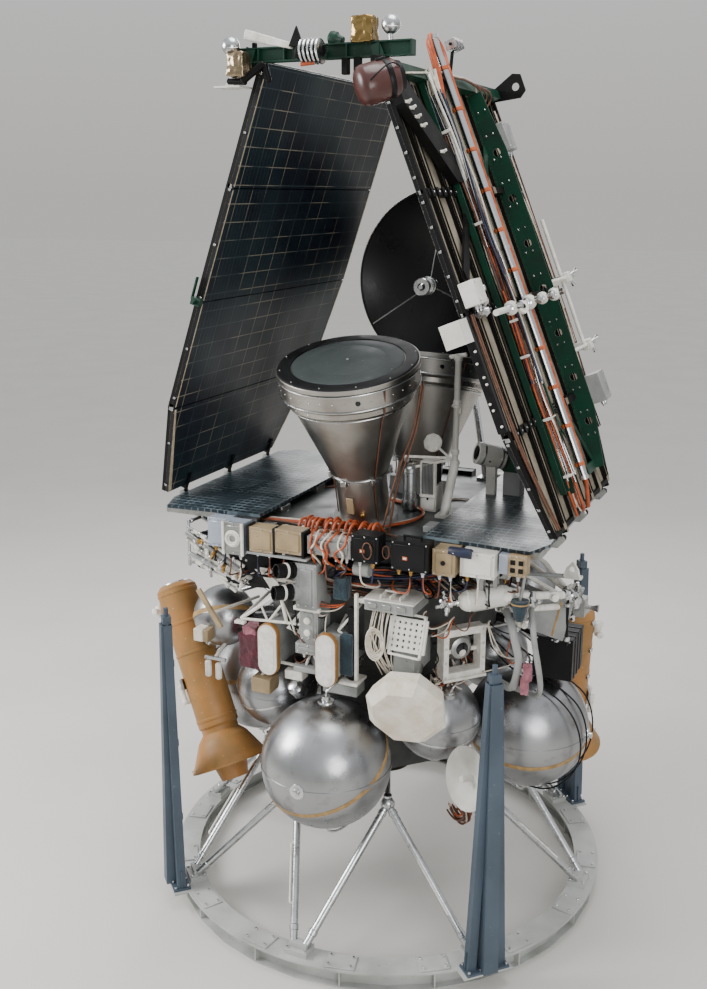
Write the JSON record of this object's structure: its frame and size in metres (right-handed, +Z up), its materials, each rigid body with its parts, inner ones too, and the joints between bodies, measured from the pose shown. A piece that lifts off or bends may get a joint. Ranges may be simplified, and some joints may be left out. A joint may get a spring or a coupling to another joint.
{
  "type": "interplanetary probe spacecraft on an assembly stand",
  "caption": "Deep-space probe with spherical tanks, stowed hinged solar wings, lander capsules and a dish, on a round ground stand.",
  "frame": {"origin": "floor level at the centre of the stand's ring", "axes": "+Z up, +X towards the right wing, +Y towards the large dish, -Y towards the front equipment"},
  "size_m": [3.9516, 3.8996, 7.165],
  "materials": {
    "ring_paint": "light grey satin paint",
    "strut_metal": "brushed",
    "post_paint": "blue-grey satin paint",
    "core_paint": "dark grey satin paint",
    "tank_skin": "mottled, half polished",
    "engine_metal": "heat-toned",
    "bus_paint": "pale grey satin paint",
    "alloy": "machined satin",
    "white_paint": "white satin paint",
    "black_paint": "black satin paint",
    "tan_paint": "tan satin paint",
    "wrap_foil": "blue-white wrapped foil",
    "grey_paint": "grey satin paint",
    "ochre_paint": "ochre satin paint",
    "capsule_skin": "brushed",
    "lid_green": "grey-green cover, black rim",
    "dish_black": "glossy black skin",
    "cells": "dark blue solar cells",
    "frame_black": "black satin paint",
    "girder_green": "deep green satin paint",
    "foil_gold": "gold foil",
    "pot_brown": "brown satin paint"
  },
  "bodies": {
    "craft": {"stand_ring": "ring_paint", "strut_shoes": "ring_paint", "stand_struts": "strut_metal", "stand_posts": "post_paint", "propulsion_core": "core_paint", "cradle_nodes": "strut_metal", "large_tanks": "tank_skin", "small_tanks": "tank_skin", "engine": "engine_metal", "bus_shell": "bus_paint", "service_tanks": "tank_skin", "deck": "alloy", "edge_beams": "alloy", "cross_beams": "alloy", "side_panels": "cells", "white_boxes": "white_paint", "black_boxes": "black_paint", "tan_boxes": "tan_paint", "wrapped_boxes": "wrap_foil", "sensor_column": "grey_paint", "star_sensors": "black_paint", "triangle_brackets": "white_paint", "oval_covers": "white_paint", "backing_boxes": "grey_paint", "hole_plate": "white_paint", "blanket_dish": "wrap_foil", "square_frame": "white_paint", "gas_bottle": "white_paint", "thruster_blocks": "alloy", "instrument_arms": "alloy", "small_dish": "white_paint", "probes": "ochre_paint", "probe_arms": "strut_metal", "capsule_bodies": "capsule_skin", "capsule_lids": "lid_green", "capsule_seats": "grey_paint", "dish_reflector": "dish_black", "dish_feed": "alloy", "dish_mast": "strut_metal", "deck_camera": "grey_paint", "deck_pole": "strut_metal", "deck_box": "white_paint"},
    "left_wing": {"left_wing_panels": "cells", "left_wing_frame": "frame_black", "left_wing_girders": "girder_green", "left_wing_head": "girder_green", "gold_box": "foil_gold", "head_plate": "white_paint"},
    "right_wing": {"right_wing_panels": "cells", "right_wing_frame": "frame_black", "right_wing_girders": "girder_green", "right_wing_head": "girder_green", "right_wing_tube": "white_paint", "right_wing_crossbar": "white_paint", "right_wing_rod": "alloy", "right_wing_boxes": "white_paint", "right_wing_diagonal": "frame_black", "foil_box": "foil_gold", "sensor_pot": "pot_brown"}
  },
  "joints": [
    {"name": "left_wing_hinge", "type": "hinge", "parent": "craft", "child": "left_wing", "pos_m": [-1.67, 0.11, 3.5], "axis": [0, -1, 0], "range_deg": [0, 110]},
    {"name": "right_wing_hinge", "type": "hinge", "parent": "craft", "child": "right_wing", "pos_m": [1.67, 0.11, 3.5], "axis": [0, 1, 0], "range_deg": [0, 110]}
  ]
}
